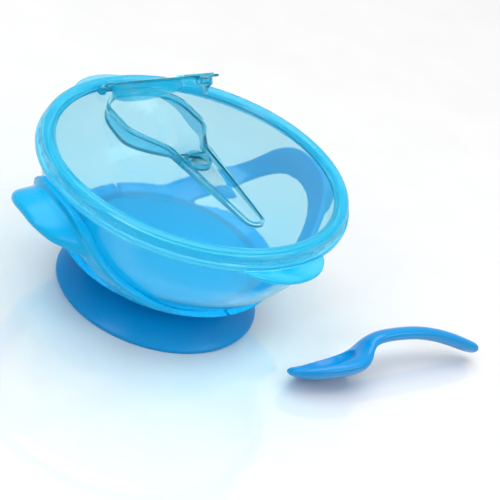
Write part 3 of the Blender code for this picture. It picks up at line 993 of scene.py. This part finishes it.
def build_pieces():
    """Builds the seven shapes, makes each the piece that is shown, and drops the helpers."""
    bowl_axis = add_empty("bowl_axis", (*BOWL_XY, 0.0))
    wall = make_bowl(bowl_plastic, bowl_axis)
    cup = make_suction_base(base_rubber, bowl_axis)
    bowl_room = make_bowl_room(bowl_axis)
    grip_axis = add_empty("grip_axis", (0.0, 0.0, 0.0), bowl_axis)
    grip_axis.rotation_euler = (0.0, 0.0, math.radians(GRIP_TURN))
    left = make_grip("left", -1, bowl_room, grip_rubber, grip_axis)
    right = make_grip("right", 1, bowl_room, grip_rubber, grip_axis)
    lid = make_lid(lid_plastic, bowl_axis)
    hinge = add_empty("cover_turn", (0.0, HINGE_Y, HINGE_Z), bowl_axis)
    hinge.rotation_euler = (math.radians(-COVER_OPEN), 0.0, 0.0)
    cover = make_cover(lid_plastic, hinge)
    spoon_at = (BOWL_XY[0] + SPOON_TIP[0], BOWL_XY[1] + SPOON_TIP[1], SPOON_LIFT)
    spoon_place = add_empty("spoon_place", spoon_at)
    spoon_place.rotation_euler = (math.radians(SPOON_ROLL), 0.0, math.radians(SPOON_YAW))
    spoon = make_spoon(spoon_plastic, spoon_place)
    relaxed(left, GRIP_GRID)
    relaxed(right, GRIP_GRID)
    relaxed(spoon, SPOON_GRID)
    paint(settle(wall, TURNED_SHARP, "bowl", "bowl_shell"), collar_rubber, in_foot)
    settle(cup, TURNED_SHARP, "bowl", "suction_base")
    settle(left, SOFT_SHARP, "bowl", "left_grip")
    settle(right, SOFT_SHARP, "bowl", "right_grip")
    paint(settle(lid, LID_SHARP, "lid", "lid"), bead_plastic, thick)
    paint(settle(cover, LID_SHARP, "cover", "spoon_cover"), bead_plastic, edge_on)
    settle(spoon, SOFT_SHARP, "spoon", "spoon")
    drop_helpers()


def add_floor():
    bm = bmesh.new()
    bmesh.ops.create_grid(bm, x_segments=8, y_segments=8, size=FLOOR_HALF)
    mesh = bpy.data.meshes.new("studio_floor")
    bm.to_mesh(mesh)
    bm.free()
    floor = bpy.data.objects.new("studio_floor", mesh)
    bpy.context.scene.collection.objects.link(floor)
    floor.data.materials.append(make_floor_gloss())


def add_lamp(name, place, aim, size, power):
    """A rectangular area light at a place, turned towards a point. Metres and watts."""
    light = bpy.data.lights.new(name, "AREA")
    light.shape = "RECTANGLE"
    light.size, light.size_y = size
    light.energy = power
    lamp = bpy.data.objects.new(name, light)
    lamp.location = place
    lamp.rotation_euler = (Vector(aim) - Vector(place)).to_track_quat("-Z", "Y").to_euler()
    bpy.context.scene.collection.objects.link(lamp)


def add_light():
    world = bpy.data.worlds.new("studio")
    world.use_nodes = True
    world.node_tree.nodes["Background"].inputs["Color"].default_value = (1.0, 1.0, 1.0, 1.0)
    world.node_tree.nodes["Background"].inputs["Strength"].default_value = WORLD_STRENGTH
    bpy.context.scene.world = world
    middle = (0.0, 0.0, 0.05)
    add_lamp("roof_softbox", (0.3, 0.6, 3.0), aim=(0.3, 0.4, 0.0), size=(3.4, 3.4), power=84.0)
    add_lamp("key_softbox", (-0.75, -0.1, 0.7), aim=middle, size=(0.3, 0.7), power=2.5)
    add_lamp("fill_softbox", (0.35, -0.8, 0.55), aim=middle, size=(0.7, 0.25), power=2.0)


def turned_to_world(v):
    """Turns a direction about Z by CAMERA_TURN degrees, clockwise from above."""
    turn = math.radians(CAMERA_TURN)
    cos, sin = math.cos(turn), math.sin(turn)
    return Vector((v.x * cos + v.y * sin, -v.x * sin + v.y * cos, v.z))


def add_camera():
    high, roll = math.radians(CAMERA_HEIGHT), math.radians(CAMERA_ROLL)
    ahead = Vector((0.0, math.cos(high), -math.sin(high)))
    side = Vector((1.0, 0.0, 0.0))
    above = side.cross(ahead)
    right = side * math.cos(roll) + above * math.sin(roll)
    up = above * math.cos(roll) - side * math.sin(roll)
    target = Vector((BOWL_XY[0] * MM, BOWL_XY[1] * MM, TARGET_Z))
    aim = (ahead + right * AIM_RIGHT + up * AIM_UP).normalized()
    tilt = ahead.rotation_difference(aim)
    axes = [turned_to_world(tilt @ v) for v in (right, up, -ahead)]
    data = bpy.data.cameras.new("camera")
    data.lens = CAMERA_LENS
    camera = bpy.data.objects.new("camera", data)
    place = target - turned_to_world(ahead) * CAMERA_AWAY
    camera.matrix_world = Matrix.Translation(place) @ Matrix(axes).transposed().to_4x4()
    bpy.context.scene.collection.objects.link(camera)
    bpy.context.scene.camera = camera


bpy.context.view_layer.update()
parts = new_collection("helper_parts")
cutters = new_collection("helper_cutters")
shown = new_collection("suction_bowl_looks")

bowl_plastic = make_bowl_plastic()
collar_rubber = make_collar_rubber()
lid_plastic = make_lid_plastic()
bead_plastic = make_bead_plastic()
grip_rubber = make_grip_rubber()
base_rubber = make_base_rubber()
spoon_plastic = make_spoon_plastic()

build_pieces()
add_floor()
add_light()
add_camera()
bpy.context.scene.view_settings.view_transform = "Standard"
